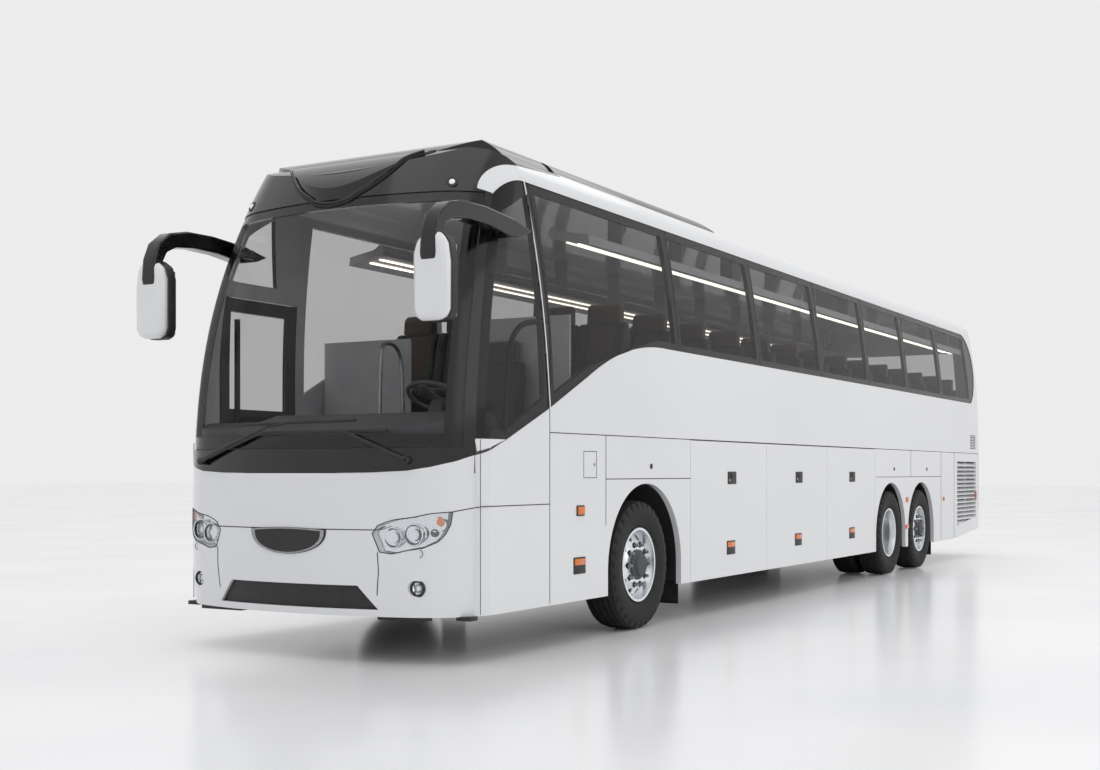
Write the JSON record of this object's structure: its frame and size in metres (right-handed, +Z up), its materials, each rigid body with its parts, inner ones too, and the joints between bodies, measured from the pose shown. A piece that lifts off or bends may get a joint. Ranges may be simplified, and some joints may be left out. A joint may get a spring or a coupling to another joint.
{
  "type": "three-axle touring coach bus",
  "caption": "High-deck touring coach with raked windscreen, bonded side glazing, arched mirrors, luggage bays, steering front wheels, twin drive wheels and a tag axle.",
  "frame": {"origin": "on the ground below the middle of the whole vehicle, mirrors included", "axes": "+X forward, +Y to the driver's left, +Z up"},
  "size_m": [14.9042, 2.71, 3.7044],
  "materials": {
    "body_paint": "white gloss coach enamel",
    "black_gloss": "black gloss moulding",
    "black_plastic": "grained black plastic",
    "tinted_glass": "grey tinted safety glass",
    "clear_glass": "clear lens",
    "lamp_chrome": "bright lamp bowls",
    "tail_lens": "red tail lens",
    "tyre": "black tread rubber",
    "rim": "polished forged wheel",
    "steel": "black painted chassis steel",
    "deck": "grey floor covering",
    "seat": "brown and black moquette",
    "trim": "grey interior trim",
    "flap_rubber": "black rubber sheet"
  },
  "bodies": {
    "coach": {"roof": "body_paint", "side_wall_left": "body_paint", "side_wall_right": "body_paint", "lower_panels_left": "body_paint", "lower_panels_right": "body_paint", "front_panel": "body_paint", "front_bumper": "body_paint", "rear_panel": "body_paint", "rear_bumper": "body_paint", "roof_pod": "black_gloss", "front_frame": "black_gloss", "mirrors": "black_gloss", "wheel_arches": "flap_rubber", "side_grilles": "body_paint", "roof_unit": "black_plastic", "lower_grille": "black_plastic", "wipers": "black_plastic", "dashboard": "black_plastic", "window_glass": "tinted_glass", "windscreen": "tinted_glass", "headlamp_lenses": "clear_glass", "headlamp_units": "lamp_chrome", "tail_lamps": "tail_lens", "chassis": "steel", "engine": "steel", "front_axle": "steel", "rear_axles": "steel", "luggage_bay": "steel", "floor": "deck", "seats": "seat", "luggage_racks": "trim", "partitions": "trim", "mudflaps": "flap_rubber"},
    "wheel_front_left": {"tyre_front_left": "tyre", "rim_front_left": "rim"},
    "wheel_drive_left": {"tyre_drive_left": "tyre", "rim_drive_left": "rim"},
    "wheel_tag_left": {"tyre_tag_left": "tyre", "rim_tag_left": "rim"},
    "steer_left": {"knuckle_left": "steel"},
    "bay_door_left_1": {"luggage_door_left_1": "body_paint"},
    "bay_door_left_2": {"luggage_door_left_2": "body_paint"},
    "bay_door_left_3": {"luggage_door_left_3": "body_paint"},
    "wheel_front_right": {"tyre_front_right": "tyre", "rim_front_right": "rim"},
    "wheel_drive_right": {"tyre_drive_right": "tyre", "rim_drive_right": "rim"},
    "wheel_tag_right": {"tyre_tag_right": "tyre", "rim_tag_right": "rim"},
    "steer_right": {"knuckle_right": "steel"},
    "bay_door_right_1": {"luggage_door_right_1": "body_paint"},
    "bay_door_right_2": {"luggage_door_right_2": "body_paint"},
    "bay_door_right_3": {"luggage_door_right_3": "body_paint"},
    "engine_hatch": {"engine_lid": "body_paint"},
    "door_arm": {"entrance_arm": "steel"},
    "door_leaf": {"entrance_door": "body_paint", "entrance_door_glass": "tinted_glass"}
  },
  "joints": [
    {"name": "front_left_spin", "type": "hinge", "parent": "steer_left", "child": "wheel_front_left", "pos_m": [4.48709, 1.119, 0.522], "axis": [0, 1, 0], "continuous": true},
    {"name": "drive_left_spin", "type": "hinge", "parent": "coach", "child": "wheel_drive_left", "pos_m": [-2.56291, 1.119, 0.522], "axis": [0, 1, 0], "continuous": true},
    {"name": "tag_left_spin", "type": "hinge", "parent": "coach", "child": "wheel_tag_left", "pos_m": [-3.96291, 1.119, 0.522], "axis": [0, 1, 0], "continuous": true},
    {"name": "steering_left", "type": "hinge", "parent": "coach", "child": "steer_left", "pos_m": [4.48709, 0.985, 0.522], "axis": [0, 0, 1], "range_deg": [-42, 42]},
    {"name": "bay_left_1", "type": "hinge", "parent": "coach", "child": "bay_door_left_1", "pos_m": [2.62459, 1.263, 1.542], "axis": [1, 0, 0], "range_deg": [0, 85]},
    {"name": "bay_left_2", "type": "hinge", "parent": "coach", "child": "bay_door_left_2", "pos_m": [0.80109, 1.263, 1.542], "axis": [1, 0, 0], "range_deg": [0, 85]},
    {"name": "bay_left_3", "type": "hinge", "parent": "coach", "child": "bay_door_left_3", "pos_m": [-0.98891, 1.263, 1.542], "axis": [1, 0, 0], "range_deg": [0, 85]},
    {"name": "front_right_spin", "type": "hinge", "parent": "steer_right", "child": "wheel_front_right", "pos_m": [4.48709, -1.119, 0.522], "axis": [0, 1, 0], "continuous": true},
    {"name": "drive_right_spin", "type": "hinge", "parent": "coach", "child": "wheel_drive_right", "pos_m": [-2.56291, -1.119, 0.522], "axis": [0, 1, 0], "continuous": true},
    {"name": "tag_right_spin", "type": "hinge", "parent": "coach", "child": "wheel_tag_right", "pos_m": [-3.96291, -1.119, 0.522], "axis": [0, 1, 0], "continuous": true},
    {"name": "steering_right", "type": "hinge", "parent": "coach", "child": "steer_right", "pos_m": [4.48709, -0.985, 0.522], "axis": [0, 0, 1], "range_deg": [-42, 42]},
    {"name": "bay_right_1", "type": "hinge", "parent": "coach", "child": "bay_door_right_1", "pos_m": [2.62459, -1.263, 1.542], "axis": [-1, 0, 0], "range_deg": [0, 85]},
    {"name": "bay_right_2", "type": "hinge", "parent": "coach", "child": "bay_door_right_2", "pos_m": [0.80109, -1.263, 1.542], "axis": [-1, 0, 0], "range_deg": [0, 85]},
    {"name": "bay_right_3", "type": "hinge", "parent": "coach", "child": "bay_door_right_3", "pos_m": [-0.98891, -1.263, 1.542], "axis": [-1, 0, 0], "range_deg": [0, 85]},
    {"name": "engine_hatch_hinge", "type": "hinge", "parent": "coach", "child": "engine_hatch", "pos_m": [-7.44009, 0, 1.76], "axis": [0, 1, 0], "range_deg": [0, 80]},
    {"name": "entrance_swing", "type": "hinge", "parent": "coach", "child": "door_arm", "pos_m": [6.60709, -1.13, 1.2], "axis": [0, 0, 1], "range_deg": [0, 90]},
    {"name": "entrance_leaf", "type": "hinge", "parent": "door_arm", "child": "door_leaf", "pos_m": [6.04709, -1.13, 1.2], "axis": [0, 0, 1], "range_deg": [-90, 0]}
  ],
  "couplings": [
    {"joint": "steering_right", "follows": "steering_left", "ratio": 1},
    {"joint": "entrance_leaf", "follows": "entrance_swing", "ratio": -1}
  ]
}
